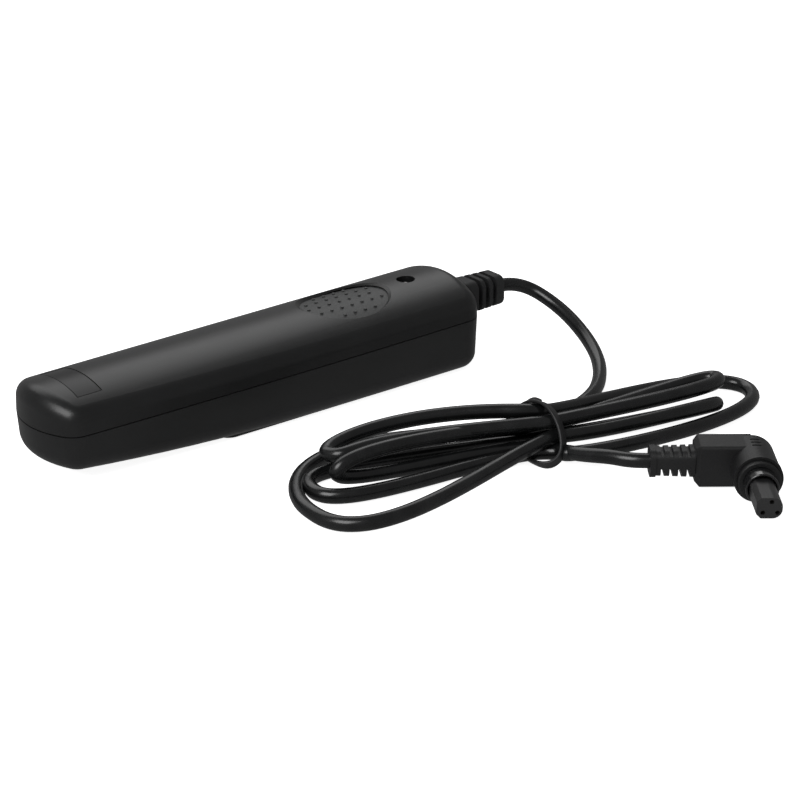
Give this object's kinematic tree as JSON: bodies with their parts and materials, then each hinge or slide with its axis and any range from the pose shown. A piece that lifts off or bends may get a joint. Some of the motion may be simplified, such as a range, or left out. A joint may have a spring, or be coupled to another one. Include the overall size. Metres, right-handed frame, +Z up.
{
  "type": "wired camera remote release",
  "caption": "Slim handheld wired camera remote with an oval thumb button and lamp on top, and a tied coil of cord ending in a right-angle locking plug.",
  "frame": {"origin": "on the surface the handset rests on, under the middle of the handset's box without its cord and plug", "axes": "+X along the handset towards the end the cable leaves, +Y to the left of the button seen from the cable end, +Z up through the thumb button"},
  "size_m": [0.1444, 0.1228, 0.0204],
  "materials": {
    "case_plastic": "fine satin black moulded plastic",
    "button_plastic": "smooth black plastic with raised grip dots",
    "label_film": "flat black film set in a shallow recess",
    "gland_rubber": "fine grained black flexible moulding",
    "cord_jacket": "smooth satin black cord jacket",
    "tie_plastic": "thin black ribbed tie",
    "plug_plastic": "fine grained black moulded plug",
    "plug_nose_plastic": "polished black plastic",
    "insert_plastic": "satin black contact insert",
    "lamp_lens": "dark glossy lamp lens, unlit",
    "contact_brass": "brass contact spring",
    "spring_steel": "bright spring wire",
    "screw_steel": "zinc plated screw steel",
    "board_laminate": "green circuit board",
    "block_plastic": "natural nylon contact holder",
    "resistor_body": "tan lacquered resistor",
    "lead_tin": "tinned wire",
    "wire_red": "red insulated wire",
    "wire_yellow": "yellow insulated wire",
    "wire_white": "white insulated wire"
  },
  "bodies": {
    "handset": {"top_shell": "case_plastic", "bottom_shell": "case_plastic", "label_plate": "label_film", "shutter_contact": "contact_brass", "leaf_tails": "contact_brass", "contact_block": "block_plastic", "circuit_board": "board_laminate", "resistor": "resistor_body", "indicator_lamp": "lamp_lens", "lamp_leads": "lead_tin", "cable_gland": "gland_rubber", "cord_clamp": "block_plastic", "clamp_screws": "screw_steel", "case_screws": "screw_steel", "inner_cord": "cord_jacket", "cable_lead": "cord_jacket", "cable_tail": "cord_jacket", "cable_hank": "cord_jacket", "cable_tie": "tie_plastic", "common_wire": "wire_red", "focus_wire": "wire_yellow", "shutter_wire": "wire_white", "plug_relief": "plug_plastic", "plug_body": "plug_plastic", "plug_nose": "plug_nose_plastic", "ring_spring": "spring_steel", "plug_insert": "insert_plastic", "plug_contacts": "contact_brass"},
    "lock_slide": {"lock_slide": "block_plastic", "return_spring": "spring_steel"},
    "thumb_button": {"thumb_button": "button_plastic"},
    "common_contact": {"common_contact": "contact_brass"},
    "focus_contact": {"focus_contact": "contact_brass"},
    "plug_lock_ring": {"plug_lock_ring": "plug_plastic"}
  },
  "joints": [
    {"name": "lock_slide", "type": "slide", "parent": "handset", "child": "lock_slide", "axis": [1, 0, 0], "range_m": [0, 0.0025]},
    {"name": "button_press", "type": "slide", "parent": "lock_slide", "child": "thumb_button", "axis": [0, 0, -1], "range_m": [0, 0.002], "stiffness_N_per_m": 600, "springref_m": -0.001, "deforming": ["return_spring"]},
    {"name": "common_contact_flex", "type": "hinge", "parent": "handset", "child": "common_contact", "pos_m": [0.0083, 0, 0.00932], "axis": [0, 1, 0], "range_deg": [0, 7.5]},
    {"name": "focus_contact_flex", "type": "hinge", "parent": "handset", "child": "focus_contact", "pos_m": [0.0083, 0, 0.00779], "axis": [0, 1, 0], "range_deg": [0, 3.75]},
    {"name": "plug_lock", "type": "slide", "parent": "handset", "child": "plug_lock_ring", "axis": [0.6074, 0.7944, 0], "range_m": [0, 0.0012], "stiffness_N_per_m": 500, "springref_m": -0.0005, "deforming": ["ring_spring"]}
  ],
  "couplings": [
    {"joint": "common_contact_flex", "follows": "button_press", "rad_per_m": 64.9},
    {"joint": "focus_contact_flex", "follows": "button_press", "rad_per_m": 32.4}
  ]
}
